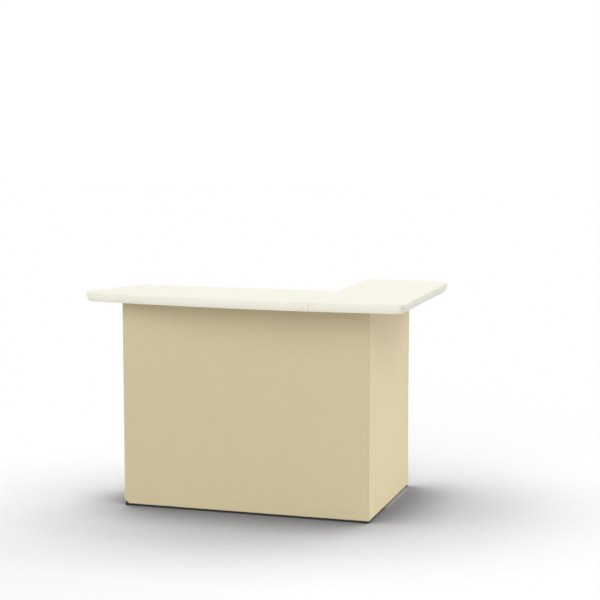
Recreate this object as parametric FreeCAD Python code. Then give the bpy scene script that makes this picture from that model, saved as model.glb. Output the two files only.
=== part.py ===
import FreeCAD, Part
import math
import os

# Portable bar counter: a two-panel L-shaped moulded top on a knock-down tube frame with a cloth skirt.
# The right rear of the frame is a wing frame that swings in under the top on a round hinge post.
# Millimetres, +Z up. Places are set out from the skirt's front right corner on the floor, and every piece
# is moved at the end so that the origin lies on the floor under the middle of the whole counter.

Vector = FreeCAD.Vector
RIGHT = Vector(1, 0, 0)
BACK = Vector(0, 1, 0)
UP = Vector(0, 0, 1)

# Overall sizes
counter_height = 1067.0
base_width = 1252.0
base_depth = 811.0
box_depth = 300.0

# Top panels in plan
top_thickness = 45.0
front_overhang = 152.0
right_overhang = 190.0
wing_overhang_back = 120.0
run_overhang_back = 37.0
left_overhang_front = 171.5
left_overhang_back = 32.0
wing_width = 446.0
front_bow_radius = 5750.0
bow_apex_from_right = 413.0
front_left_radius = 46.0
front_right_radius = 42.0
wing_back_right_radius = 90.0
wing_back_left_radius = 8.0
run_back_left_radius = 28.0
least_corner_radius = 0.8

# Top panels in section: the edge rolls in under the sharp upper rim
edge_curve_radius = 78.0
edge_sections = 3
seam_gap = 0.8
shell_wall = 4.0
pan_thickness = 4.0
pan_fit = 0.5
trim_margin = 20.0

# Kiss-off cones that join the pan to the shell
cone_pitch = 112.0
cone_margin = 46.0
cone_base_radius = 17.0
cone_tip_radius = 7.0
cone_wall = 3.5

# Locating pegs under the panels
peg_radius = 5.0
peg_drop = 14.0
peg_grip = 20.0
peg_chamfer = 1.5
peg_boss_radius = 12.0
peg_boss_height = 23.0
peg_fit = 0.05
peg_from_post = 95.0
peg_from_seam = 85.0

# Square steel tube
tube = 25.0
tube_wall = 1.5
tube_corner = 2.0

# Skirt and the hook tape behind it
skirt_thickness = 2.0
tape_thickness = 2.0
tape_width = 18.0
hem_clearance = 12.0
skirt_top_gap = 3.0

# Heights of the rails and boards
bottom_rail_height = 40.0
shelf_top_height = 503.0
board_thickness = 12.0

# Glides in the post ends
foot_height = 12.0
foot_plug_length = 18.0
foot_fit = 0.05
foot_chamfer = 2.0

# Tabs and hand knobs of the long rails
tab_length = 44.0
tab_thickness = 3.0
knob_radius = 12.0
knob_height = 13.0
knob_collar_radius = 6.5
knob_collar_height = 4.0
knob_lobes = 6
knob_scallop_radius = 4.0
knob_screw_radius = 3.0
knob_screw_grip = 6.0
screw_fit = 0.05

# Bearer under the seam
bearer_width = 60.0
bearer_plate_width = 40.0
bearer_plate_reach = 40.0
bearer_screw_grip = 14.0

# Round hinge post of the wing frame and the collars that carry it
hinge_post_radius = 12.5
hinge_post_setback = 18.5
collar_plate_thickness = 3.0
collar_plate_height = 64.0
collar_plate_width = 22.0
collar_height = 24.0
collar_wall = 2.6
collar_web = 3.0
collar_neck_width = 16.0
collar_fit = 0.06
collar_low_height = 170.0
collar_high_height = 870.0
collar_screw_offset = 22.0
wing_top_clearance = 0.5
weld_gap = 0.1
skirt_joint_gap = 1.0

# Small pan-head screws
screw_radius = 2.0
screw_head_radius = 4.0
screw_head_height = 2.0
recess_width = 0.8
recess_depth = 0.7
recess_margin = 1.4
collar_screw_grip = 8.0
board_screw_grip = 18.0
board_screw_count = 4
board_screw_inset = 90.0

# Fold-up shelf and its butt hinges
shelf_end_gap = 2.0
shelf_front_gap = 4.0
shelf_rear_gap = 4.0
hinge_length = 60.0
hinge_leaf_width = 20.0
hinge_leaf_thickness = 1.5
hinge_knuckle_radius = 3.0
hinge_pin_radius = 1.5
hinge_fit = 0.05
hinge_side_gap = 0.5
hinge_end_inset = 150.0
hinge_count = 3
hinge_screw_spacing = 36.0
hinge_screw_radius = 1.5
hinge_screw_head_radius = 3.0
hinge_screw_head_height = 1.2
hinge_screw_grip = 9.0
board_notch_gap = 1.0

# Places that follow from the sizes
underside = counter_height - top_thickness
frame_inset = skirt_thickness + tape_thickness
frame_left = -base_width + frame_inset
frame_right = -frame_inset
frame_front = frame_inset
frame_rear = box_depth
inner_left = frame_left + tube
inner_right = frame_right - tube
inner_front = frame_front + tube
inner_rear = frame_rear - tube
seam_x = right_overhang - wing_width
top_rail_height = underside - tube
shelf_rail_height = shelf_top_height - tube
shelf_underside = shelf_top_height - board_thickness
end_shelf_rail_height = shelf_underside - tube
wing_frame_top = underside - wing_top_clearance
hinge_post_x = -hinge_post_setback
hinge_post_y = frame_rear + collar_plate_thickness + collar_web + collar_fit + hinge_post_radius
far_post_front = base_depth - tube
skirt_top = underside - skirt_top_gap
shelf_axis_y = inner_front + shelf_front_gap / 2
shelf_axis_z = shelf_top_height + hinge_knuckle_radius
shelf_left = frame_left + shelf_end_gap
shelf_right = frame_right - shelf_end_gap
shelf_front = inner_front + shelf_front_gap
shelf_rear = inner_rear - shelf_rear_gap


def block(x0, x1, y0, y1, z0, z1):
    """Rectangular block between two corners."""
    return Part.makeBox(x1 - x0, y1 - y0, z1 - z0, Vector(x0, y0, z0))


def drill(shape, radius, start, direction, length):
    """Cut a round hole from start along direction."""
    return shape.cut(Part.makeCylinder(radius, length, start, direction))


def low_edges(shape, height):
    """Edges of a shape that lie wholly below a height."""
    return [edge for edge in shape.Edges if edge.BoundBox.ZMax < height]


def square_tube(x0, x1, y0, y1, z0, z1, along):
    """Square tube with rounded long edges, open at both ends along one axis."""
    outer = block(x0, x1, y0, y1, z0, z1)
    long_edges = [edge for edge in outer.Edges if abs(edge.tangentAt(edge.FirstParameter).dot(along)) > 0.9]
    outer = outer.makeFillet(tube_corner, long_edges)
    wall = Vector(tube_wall, tube_wall, tube_wall) - along * (2 * tube_wall)
    bore = block(x0 + wall.x, x1 - wall.x, y0 + wall.y, y1 - wall.y, z0 + wall.z, z1 - wall.z)
    return outer.cut(bore)


def pan_head_screw(seat, direction, grip, radius, head_radius, head_height):
    """Screw whose head sits on seat and whose shank runs along direction."""
    head = Part.makeCylinder(head_radius, head_height, UP * -head_height)
    head = head.makeFillet(head_height / 3, low_edges(head, -head_height / 2))
    reach = head_radius - recess_margin
    half = recess_width / 2
    recess_top = recess_depth - head_height
    for x, y in ((reach, half), (half, reach)):
        head = head.cut(block(-x, x, -y, y, -head_height, recess_top))
    screw = head.fuse(Part.makeCylinder(radius, grip)).removeSplitter()
    screw.Placement = FreeCAD.Placement(seat, FreeCAD.Rotation(UP, direction))
    return screw


def frame_screw(seat, direction, grip):
    """The larger screw, used in the frame and the lower board."""
    return pan_head_screw(seat, direction, grip, screw_radius, screw_head_radius, screw_head_height)


# Plan of the top


class StraightSide:
    """One straight side of the top in plan."""

    def __init__(self, point, outward):
        self.normal = Vector(outward).normalize()
        self.offset = self.normal.dot(point)

    def depth(self, point):
        return self.offset - self.normal.dot(point)

    def outward_at(self, point):
        return self.normal


class BowedSide:
    """The front side of the top, a shallow arc."""

    def __init__(self, centre, radius):
        self.centre = centre
        self.radius = radius

    def depth(self, point):
        return self.radius - (point - self.centre).Length

    def outward_at(self, point):
        return (point - self.centre).normalize()

    def between(self, start, end, inset):
        """Middle point of the arc from start to end, at an inset from the rim."""
        middle = ((start - self.centre) + (end - self.centre)).normalize()
        return self.centre + middle * (self.radius - inset)


def meet(first, second, inset):
    """Point where two sides cross when both are moved inwards by inset."""
    if isinstance(first, BowedSide) or isinstance(second, BowedSide):
        bow, line = (first, second) if isinstance(first, BowedSide) else (second, first)
        reach = bow.radius - inset
        gap = line.offset - inset - line.normal.dot(bow.centre)
        half = math.sqrt(reach ** 2 - gap ** 2)
        foot = bow.centre + line.normal * gap
        along = Vector(-line.normal.y, line.normal.x, 0)
        return min((foot + along * half, foot - along * half), key=lambda point: point.y)
    one, two = first.normal, second.normal
    one_offset, two_offset = first.offset - inset, second.offset - inset
    det = one.x * two.y - one.y * two.x
    x = (one_offset * two.y - two_offset * one.y) / det
    y = (one.x * two_offset - two.x * one_offset) / det
    return Vector(x, y, 0)


run_back_y = box_depth + run_overhang_back
front_side = BowedSide(Vector(-bow_apex_from_right, front_bow_radius - front_overhang, 0), front_bow_radius)
right_side = StraightSide(Vector(right_overhang, 0, 0), RIGHT)
wing_back_side = StraightSide(Vector(0, base_depth + wing_overhang_back, 0), BACK)
wing_left_side = StraightSide(Vector(seam_x, 0, 0), RIGHT * -1)
run_back_side = StraightSide(Vector(0, run_back_y, 0), BACK)
seam_side = StraightSide(Vector(seam_x, 0, 0), RIGHT)
left_front_point = Vector(-base_width - left_overhang_front, 0, 0)
left_back_point = Vector(-base_width - left_overhang_back, run_back_y, 0)
left_run = left_back_point - left_front_point
left_side = StraightSide(left_front_point, Vector(-left_run.y, left_run.x, 0))

# Corners of the L in order round it: the two sides and the rounding between them, none at the inner corner
top_corners = [
    (left_side, front_side, front_left_radius),
    (front_side, right_side, front_right_radius),
    (right_side, wing_back_side, wing_back_right_radius),
    (wing_back_side, wing_left_side, wing_back_left_radius),
    (wing_left_side, run_back_side, 0.0),
    (run_back_side, left_side, run_back_left_radius),
]
run_sides = [left_side, front_side, seam_side, run_back_side]
wing_sides = [front_side, right_side, wing_back_side, wing_left_side]


def rounded_corner(first, second, radius, inset):
    """Start, middle and end of one corner's rounding, at an inset from the rim."""
    if radius == 0:
        point = meet(first, second, inset)
        return point, None, point
    radius = max(radius - inset, least_corner_radius)
    centre = meet(first, second, inset + radius)
    one, two = first.outward_at(centre), second.outward_at(centre)
    middle = (one + two).normalize()
    return centre + one * radius, centre + middle * radius, centre + two * radius


def top_outline(inset, height):
    """Closed outline of the whole L at one height."""
    rounds = [rounded_corner(first, second, radius, inset) for first, second, radius in top_corners]
    edges = []
    for index, (start, middle, end) in enumerate(rounds):
        if middle is not None:
            edges.append(Part.Arc(start, middle, end).toShape())
        side = top_corners[index][1]
        next_start = rounds[(index + 1) % len(rounds)][0]
        if isinstance(side, BowedSide):
            edges.append(Part.Arc(end, side.between(end, next_start, inset), next_start).toShape())
        else:
            edges.append(Part.LineSegment(end, next_start).toShape())
    outline = Part.Wire(edges)
    outline.translate(Vector(0, 0, height))
    return outline


def edge_inset(height):
    """How far the rolled edge lies inside the rim at a height."""
    drop = counter_height - height
    return edge_curve_radius - math.sqrt(edge_curve_radius ** 2 - drop ** 2)


def rolled_slab(wall, high, low):
    """The whole L between two heights, everywhere a wall thickness inside the rolled edge."""
    heights = [high + (low - high) * step / edge_sections for step in range(edge_sections + 1)]
    return Part.makeLoft([top_outline(edge_inset(height) + wall, height) for height in heights], True, False)


plan_box = top_outline(0, 0).optimalBoundingBox(False)
origin_shift = Vector(-plan_box.Center.x, -plan_box.Center.y, 0)


# Top panels


def side_of_seam(wing, setback):
    """Trimming block for one panel, set back from the seam."""
    low, high = underside - trim_margin, counter_height + trim_margin
    front, rear = plan_box.YMin - trim_margin, plan_box.YMax + trim_margin
    if wing:
        return block(seam_x + setback, plan_box.XMax + trim_margin, front, rear, low, high)
    return block(plan_box.XMin - trim_margin, seam_x - setback, front, rear, low, high)


def panel_shell(wing):
    """Upper skin of one panel with its rolled edge and its wall at the seam."""
    outside = rolled_slab(0, counter_height, underside).common(side_of_seam(wing, seam_gap / 2))
    hollow = rolled_slab(shell_wall, counter_height - shell_wall, underside - shell_wall)
    return outside.cut(hollow.common(side_of_seam(wing, seam_gap / 2 + shell_wall)))


def cone_places(sides, pegs):
    """Grid of kiss-off cones inside one panel, clear of its edges and pegs."""
    places = []
    columns = int((plan_box.XMax - plan_box.XMin) / cone_pitch)
    rows = int((plan_box.YMax - plan_box.YMin) / cone_pitch)
    for column in range(-columns, columns + 1):
        for row in range(-rows, rows + 1):
            place = Vector(seam_x + (column + 0.5) * cone_pitch, run_back_y + (row + 0.5) * cone_pitch, 0)
            clear_of_edges = min(side.depth(place) for side in sides) > cone_margin
            clear_of_pegs = min((place - peg).Length for peg in pegs) > cone_base_radius + peg_boss_radius
            if clear_of_edges and clear_of_pegs:
                places.append(place)
    return places


def panel_pan(wing, sides, pegs):
    """Underside of one panel with its kiss-off cones and the bosses for its pegs."""
    rim_inset = edge_inset(underside) + shell_wall + pan_fit
    plate = Part.Face(top_outline(rim_inset, underside)).extrude(UP * pan_thickness)
    pan = plate.common(side_of_seam(wing, seam_gap / 2 + shell_wall + pan_fit))
    cone_height = top_thickness - shell_wall
    dimple_height = cone_height - cone_wall
    raised = []
    hollows = []
    for place in cone_places(sides, pegs):
        foot = place + UP * underside
        raised.append(Part.makeCone(cone_base_radius, cone_tip_radius, cone_height, foot))
        dimple_base, dimple_tip = cone_base_radius - cone_wall, cone_tip_radius - cone_wall / 2
        hollows.append(Part.makeCone(dimple_base, dimple_tip, dimple_height, foot))
    for peg in pegs:
        foot = peg + UP * underside
        raised.append(Part.makeCylinder(peg_boss_radius, peg_boss_height, foot))
        hollows.append(Part.makeCylinder(peg_radius + peg_fit, peg_grip, foot))
    return pan.fuse(raised).cut(hollows).removeSplitter()


def locating_pegs(pegs):
    """Round pegs held in the pan's bosses, each with a chamfered lower end."""
    shapes = []
    for place in pegs:
        peg = Part.makeCylinder(peg_radius, peg_drop + peg_grip, place + UP * (underside - peg_drop))
        shapes.append(peg.makeChamfer(peg_chamfer, low_edges(peg, underside - peg_drop + peg_chamfer)))
    return shapes


rail_rows = (frame_front + tube / 2, frame_rear - tube / 2)
run_pegs = [Vector(x, y, 0) for x in (inner_left + peg_from_post, seam_x - peg_from_seam) for y in rail_rows]
wing_pegs = [Vector(seam_x + peg_from_seam, y, 0) for y in rail_rows]


def peg_holes(rail, row):
    """Holes in a top rail's upper wall for the pegs of one row."""
    hole_depth = tube_wall * 2
    for peg in run_pegs + wing_pegs:
        if peg.y == row:
            rail = drill(rail, peg_radius + peg_fit, peg + UP * (underside - hole_depth), UP, hole_depth)
    return rail


# Box frame


def post(x0, y0):
    """Upright square tube standing on its glide."""
    return square_tube(x0, x0 + tube, y0, y0 + tube, foot_height, underside, UP)


def end_rail(x0, height):
    """Rail welded between the front and rear posts of one end."""
    return square_tube(x0, x0 + tube, inner_front, inner_rear, height, height + tube, BACK)


def knob_places(y0):
    """Middles of the two knob screws of a long rail."""
    middle = y0 + tube / 2
    return [Vector(inner_left + tab_length / 2, middle, 0), Vector(inner_right - tab_length / 2, middle, 0)]


def long_rail(y0, height):
    """Rail between the end frames, with holes in its lower wall for the knob screws."""
    rail = square_tube(inner_left, inner_right, y0, y0 + tube, height, height + tube, RIGHT)
    hole_radius = knob_screw_radius + screw_fit
    for place in knob_places(y0):
        rail = drill(rail, hole_radius, place + UP * height, UP, tube_wall * 2)
    return rail


def rail_tab(place, height):
    """Plate welded to a post under the end of a long rail."""
    half = tab_length / 2
    low = height - tab_thickness
    tab = block(place.x - half, place.x + half, place.y - tube / 2, place.y + tube / 2, low, height)
    return drill(tab, knob_screw_radius + screw_fit, Vector(place.x, place.y, low), UP, tab_thickness)


def hand_knob(place, height):
    """Lobed knob under a tab with its screw up into the rail."""
    seat = place + UP * (height - tab_thickness)
    screw = Part.makeCylinder(knob_screw_radius, tab_thickness + knob_screw_grip, seat)
    collar = Part.makeCylinder(knob_collar_radius, knob_collar_height, seat, UP * -1)
    grip_top = seat - UP * knob_collar_height
    grip = Part.makeCylinder(knob_radius, knob_height, grip_top, UP * -1)
    rims = [edge for edge in grip.Edges if edge.Closed]
    grip = grip.makeFillet(knob_height / 8, rims)
    for lobe in range(knob_lobes):
        angle = 2 * math.pi * lobe / knob_lobes
        reach = knob_radius + knob_scallop_radius / 2
        middle = grip_top + Vector(math.cos(angle), math.sin(angle), 0) * reach
        grip = drill(grip, knob_scallop_radius, middle, UP * -1, knob_height)
    return screw.fuse([collar, grip]).removeSplitter()


def square_glide(x0, y0):
    """Rubber glide with a plug up the bore of a square post."""
    foot = block(x0, x0 + tube, y0, y0 + tube, 0, foot_height)
    foot = foot.makeChamfer(foot_chamfer, low_edges(foot, foot_height / 2))
    side = tube_wall + foot_fit
    plug = block(x0 + side, x0 + tube - side, y0 + side, y0 + tube - side, 0, foot_height + foot_plug_length)
    return foot.fuse(plug.common(block(x0, x0 + tube, y0, y0 + tube, foot_chamfer, plug.BoundBox.ZMax)))


posts = {
    "post_front_left": (frame_left, frame_front),
    "post_front_right": (inner_right, frame_front),
    "post_rear_left": (frame_left, inner_rear),
    "post_rear_right": (inner_right, inner_rear),
}
long_rails = {
    "rail_front_top": (frame_front, top_rail_height),
    "rail_rear_top": (inner_rear, top_rail_height),
    "rail_front_bottom": (frame_front, bottom_rail_height),
    "rail_rear_bottom": (inner_rear, bottom_rail_height),
    "shelf_rail": (frame_front, shelf_rail_height),
}
end_rails = {
    "rail_left_top": (frame_left, top_rail_height),
    "rail_left_shelf": (frame_left, end_shelf_rail_height),
    "rail_left_bottom": (frame_left, bottom_rail_height),
    "rail_right_top": (inner_right, top_rail_height),
    "rail_right_shelf": (inner_right, end_shelf_rail_height),
    "rail_right_bottom": (inner_right, bottom_rail_height),
}


# Bearer under the seam


def bearer_screw_seats():
    """Seats of the screws under the bearer plates: into each top rail and into the bearer."""
    low = top_rail_height - tab_thickness
    into_bearer = bearer_plate_reach / 2
    rows = [rail_rows[0], inner_front + into_bearer, inner_rear - into_bearer, rail_rows[1]]
    return [Vector(seam_x, y, low) for y in rows]


def seam_bearer():
    """Wooden batten between the top rails that both panels rest on at the seam."""
    half = bearer_width / 2
    bearer = block(seam_x - half, seam_x + half, inner_front, inner_rear, top_rail_height, underside)
    return bearer_holes(bearer)


def bearer_holes(shape):
    """Holes for the bearer screws in whatever they pass through."""
    for seat in bearer_screw_seats():
        shape = drill(shape, screw_radius + screw_fit, seat, UP, tab_thickness + bearer_screw_grip)
    return shape


def bearer_plates():
    """Flat plates that join the bearer to the rails from below."""
    half = bearer_plate_width / 2
    low = top_rail_height - tab_thickness
    spans = ((frame_front, inner_front + bearer_plate_reach), (inner_rear - bearer_plate_reach, frame_rear))
    plates = [block(seam_x - half, seam_x + half, y0, y1, low, top_rail_height) for y0, y1 in spans]
    return [bearer_holes(plate) for plate in plates]


def bearer_screws():
    """Screws up through the bearer plates."""
    return [frame_screw(seat, UP, tab_thickness + bearer_screw_grip) for seat in bearer_screw_seats()]


# Lower shelf board


def lower_board_top():
    """Height of the lower board's upper face."""
    return bottom_rail_height + tube + board_thickness


def lower_board_screw_seats():
    """Screw places along the front and rear bottom rails."""
    first, last = inner_left + board_screw_inset, inner_right - board_screw_inset
    step = (last - first) / (board_screw_count - 1)
    columns = [first + step * index for index in range(board_screw_count)]
    return [Vector(x, y, lower_board_top()) for x in columns for y in rail_rows]


def lower_board_holes(shape):
    """Holes for the board screws in whatever they pass through."""
    for seat in lower_board_screw_seats():
        shape = drill(shape, screw_radius + screw_fit, seat, UP * -1, board_screw_grip)
    return shape


def lower_board():
    """Fixed board on the bottom rails, notched round the posts."""
    low = bottom_rail_height + tube
    board = block(frame_left, frame_right, frame_front, frame_rear, low, lower_board_top())
    for x0, y0 in posts.values():
        gap = board_notch_gap
        board = board.cut(block(x0 - gap, x0 + tube + gap, y0 - gap, y0 + tube + gap, low, lower_board_top()))
    return lower_board_holes(board)


def lower_board_screws():
    """Screws down into the bottom rails."""
    return [frame_screw(seat, UP * -1, board_screw_grip) for seat in lower_board_screw_seats()]


# Fold-up shelf


def hinge_middles():
    """Middles of the shelf hinges along the shelf rail."""
    first, last = inner_left + hinge_end_inset, inner_right - hinge_end_inset
    return [first + (last - first) * index / (hinge_count - 1) for index in range(hinge_count)]


def hinge_screw_seats(middle, on_board):
    """Screw seats on one leaf of a hinge."""
    away = hinge_knuckle_radius + hinge_side_gap + hinge_leaf_width / 2
    y = shelf_axis_y + away if on_board else shelf_axis_y - away
    seat_height = shelf_top_height + hinge_leaf_thickness
    return [Vector(middle + side * hinge_screw_spacing / 2, y, seat_height) for side in (-1, 1)]


def hinge_screw_holes(shape, on_board):
    """Holes for the hinge screws in the leaf, the rail or the board."""
    for middle in hinge_middles():
        for seat in hinge_screw_seats(middle, on_board):
            shape = drill(shape, hinge_screw_radius + screw_fit, seat, UP * -1, hinge_screw_grip)
    return shape


def hinge_screws(on_board):
    """Screws of the leaves on the board, or of those on the rail."""
    return [pan_head_screw(seat, UP * -1, hinge_screw_grip, hinge_screw_radius, hinge_screw_head_radius,
                           hinge_screw_head_height)
            for middle in hinge_middles() for seat in hinge_screw_seats(middle, on_board)]


def shelf_axis_point(x):
    """Point on the shelf's hinge line."""
    return Vector(x, shelf_axis_y, shelf_axis_z)


def hinge_leaf(middle, on_board):
    """One leaf: the board's has the middle knuckle, the rail's has the two outer ones."""
    third = hinge_length / 3
    if on_board:
        spans = [(middle - third / 2 + hinge_fit, middle + third / 2 - hinge_fit)]
        outward = 1
    else:
        left, right = middle - hinge_length / 2, middle + hinge_length / 2
        spans = [(left, middle - third / 2), (middle + third / 2, right)]
        outward = -1
    near = shelf_axis_y + outward * (hinge_knuckle_radius + hinge_side_gap)
    far = near + outward * hinge_leaf_width
    high = shelf_top_height + hinge_leaf_thickness
    half = hinge_length / 2
    leaf = block(middle - half, middle + half, min(near, far), max(near, far), shelf_top_height, high)
    for x0, x1 in spans:
        neck = block(x0, x1, min(near, shelf_axis_y), max(near, shelf_axis_y), shelf_top_height, high)
        knuckle = Part.makeCylinder(hinge_knuckle_radius, x1 - x0, shelf_axis_point(x0), RIGHT)
        leaf = leaf.fuse([neck, knuckle])
    leaf = leaf.removeSplitter()
    leaf = drill(leaf, hinge_pin_radius + hinge_fit, shelf_axis_point(middle - half), RIGHT, hinge_length)
    return hinge_screw_holes(leaf, on_board)


def hinge_leaves(on_board):
    """The leaves of all the hinges on the board, or on the rail."""
    return [hinge_leaf(middle, on_board) for middle in hinge_middles()]


def hinge_pins():
    """Pins through the shelf hinges."""
    starts = [shelf_axis_point(middle - hinge_length / 2) for middle in hinge_middles()]
    return [Part.makeCylinder(hinge_pin_radius, hinge_length, start, RIGHT) for start in starts]


def shelf_board():
    """Board that rests on the end rails and folds up against the front."""
    board = block(shelf_left, shelf_right, shelf_front, shelf_rear, shelf_underside, shelf_top_height)
    return hinge_screw_holes(board, True)


# Wing frame


def hinge_post():
    """Round tube that turns in the collars."""
    place = Vector(hinge_post_x, hinge_post_y, foot_height)
    length = wing_frame_top - foot_height
    post_tube = Part.makeCylinder(hinge_post_radius, length, place)
    return drill(post_tube, hinge_post_radius - tube_wall, place, UP, length)


def wing_rail(height):
    """Rail of the wing frame, coped to the hinge post and welded to the far post."""
    rail = square_tube(inner_right, frame_right, hinge_post_y, far_post_front, height, height + tube, BACK)
    cope = Vector(hinge_post_x, hinge_post_y, height)
    return drill(rail, hinge_post_radius + weld_gap, cope, UP, tube)


def far_post():
    """Square post at the free end of the wing frame."""
    return square_tube(inner_right, frame_right, far_post_front, base_depth, foot_height, wing_frame_top, UP)


def round_glide():
    """Rubber glide with a plug up the bore of the round hinge post."""
    place = Vector(hinge_post_x, hinge_post_y, 0)
    foot = Part.makeCylinder(hinge_post_radius, foot_height, place)
    foot = foot.makeChamfer(foot_chamfer, low_edges(foot, foot_height / 2))
    plug_radius = hinge_post_radius - tube_wall - foot_fit
    plug = Part.makeCylinder(plug_radius, foot_plug_length, place + UP * foot_height)
    return foot.fuse(plug)


def collar_screw_seats(height):
    """Seats of a collar's screws on the back of its plate."""
    y = frame_rear + collar_plate_thickness
    return [Vector(inner_right + tube / 2, y, height + side * collar_screw_offset) for side in (-1, 1)]


def post_collar(height):
    """Plate on the rear right post with a ring round the hinge post."""
    half_width, half_height = collar_plate_width / 2, collar_plate_height / 2
    middle = inner_right + tube / 2
    plate_back = frame_rear + collar_plate_thickness
    plate = block(middle - half_width, middle + half_width, frame_rear, plate_back, height - half_height,
                  height + half_height)
    low = Vector(hinge_post_x, hinge_post_y, height - collar_height / 2)
    ring = Part.makeCylinder(hinge_post_radius + collar_fit + collar_wall, collar_height, low)
    neck_left = hinge_post_x - collar_neck_width / 2
    neck_right = neck_left + collar_neck_width
    neck = block(neck_left, neck_right, frame_rear, hinge_post_y, low.z, low.z + collar_height)
    collar = plate.fuse([neck, ring]).removeSplitter()
    collar = drill(collar, hinge_post_radius + collar_fit, low, UP, collar_height)
    return collar_screw_holes(collar, height)


def collar_screw_holes(shape, height):
    """Holes for one collar's screws in the plate or the post."""
    grip = collar_plate_thickness + collar_screw_grip
    for seat in collar_screw_seats(height):
        shape = drill(shape, screw_radius + screw_fit, seat, BACK * -1, grip)
    return shape


def collar_screws(height):
    """Screws of one collar, into the rear right post."""
    grip = collar_plate_thickness + collar_screw_grip
    return [frame_screw(seat, BACK * -1, grip) for seat in collar_screw_seats(height)]


collar_heights = (collar_low_height, collar_high_height)


# Skirt and tape


def tape_heights():
    """Lower and upper edges of the two rows of hook tape, each on the middle of its rail."""
    lift = (tube - tape_width) / 2
    lows = (bottom_rail_height + lift, top_rail_height + lift)
    return [(low, low + tape_width) for low in lows]


def frame_tapes():
    """Tape along the front, left and right rails of the box frame."""
    strips = []
    for low, high in tape_heights():
        strips.append(block(frame_left, frame_right, skirt_thickness, frame_front, low, high))
        strips.append(block(frame_left - tape_thickness, frame_left, frame_front, frame_rear, low, high))
        strips.append(block(frame_right, frame_right + tape_thickness, frame_front, frame_rear, low, high))
    return strips


def wing_tapes():
    """Tape along the wing frame's rails."""
    outside = frame_right + tape_thickness
    start = hinge_post_y + hinge_post_radius
    return [block(frame_right, outside, start, base_depth, low, high) for low, high in tape_heights()]


def skirt_panel(x0, x1, y0, y1):
    """Flat run of the skirt from the hem to just under the top."""
    return block(x0, x1, y0, y1, hem_clearance, skirt_top)


# All pieces by name

pieces = {
    "run_top_shell": [panel_shell(False)],
    "run_top_pan": [panel_pan(False, run_sides, run_pegs)],
    "run_top_pegs": locating_pegs(run_pegs),
    "wing_top_shell": [panel_shell(True)],
    "wing_top_pan": [panel_pan(True, wing_sides, wing_pegs)],
    "wing_top_pegs": locating_pegs(wing_pegs),
}
for name, (x0, y0) in posts.items():
    pieces[name] = [post(x0, y0)]
for name, (x0, height) in end_rails.items():
    pieces[name] = [end_rail(x0, height)]
for name, (y0, height) in long_rails.items():
    pieces[name] = [long_rail(y0, height)]
for name, row in (("rail_front_top", rail_rows[0]), ("rail_rear_top", rail_rows[1])):
    pieces[name] = [bearer_holes(peg_holes(pieces[name][0], row))]
for name in ("rail_front_bottom", "rail_rear_bottom"):
    pieces[name] = [lower_board_holes(pieces[name][0])]
pieces["shelf_rail"] = [hinge_screw_holes(pieces["shelf_rail"][0], False)]
for height in collar_heights:
    pieces["post_rear_right"] = [collar_screw_holes(pieces["post_rear_right"][0], height)]

knob_seats = [(place, height) for y0, height in long_rails.values() for place in knob_places(y0)]
pieces["rail_tabs"] = [rail_tab(place, height) for place, height in knob_seats]
pieces["rail_knobs"] = [hand_knob(place, height) for place, height in knob_seats]
pieces["frame_glides"] = [square_glide(x0, y0) for x0, y0 in posts.values()]
pieces["seam_bearer"] = [seam_bearer()]
pieces["bearer_plates"] = bearer_plates()
pieces["bearer_screws"] = bearer_screws()
pieces["lower_shelf_board"] = [lower_board()]
pieces["lower_shelf_screws"] = lower_board_screws()
pieces["fold_shelf_board"] = [shelf_board()]
pieces["shelf_hinge_rail_leaves"] = hinge_leaves(False)
pieces["shelf_hinge_board_leaves"] = hinge_leaves(True)
pieces["shelf_hinge_pins"] = hinge_pins()
pieces["shelf_hinge_rail_screws"] = hinge_screws(False)
pieces["shelf_hinge_board_screws"] = hinge_screws(True)
pieces["wing_hinge_post"] = [hinge_post()]
pieces["wing_far_post"] = [far_post()]
pieces["wing_rail_top"] = [wing_rail(wing_frame_top - tube)]
pieces["wing_rail_middle"] = [wing_rail(end_shelf_rail_height)]
pieces["wing_rail_bottom"] = [wing_rail(bottom_rail_height)]
pieces["wing_glides"] = [round_glide(), square_glide(inner_right, far_post_front)]
pieces["wing_collars"] = [post_collar(height) for height in collar_heights]
pieces["wing_collar_screws"] = [screw for height in collar_heights for screw in collar_screws(height)]
pieces["skirt_tapes"] = frame_tapes()
pieces["wing_skirt_tapes"] = wing_tapes()
pieces["skirt_front"] = [skirt_panel(-base_width, 0, 0, skirt_thickness)]
pieces["skirt_left"] = [skirt_panel(-base_width, skirt_thickness - base_width, skirt_thickness, box_depth)]
pieces["skirt_right"] = [skirt_panel(-skirt_thickness, 0, skirt_thickness, box_depth)]
pieces["skirt_wing"] = [skirt_panel(-skirt_thickness, 0, box_depth + skirt_joint_gap, base_depth)]

os.makedirs("parts", exist_ok=True)
for name, shapes in pieces.items():
    solids = [solid for shape in shapes for solid in shape.Solids]
    node = solids[0] if len(solids) == 1 else Part.makeCompound(solids)
    node.translate(origin_shift)
    node.exportStep(f"parts/{name}.step")
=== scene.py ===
"""Dresses the portable bar counter: moulded top, taut cloth skirt, tube frame, shelves and studio."""

import logging
import math
from dataclasses import dataclass, field, replace
from enum import Enum
from typing import Callable, Iterable, Sequence

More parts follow.
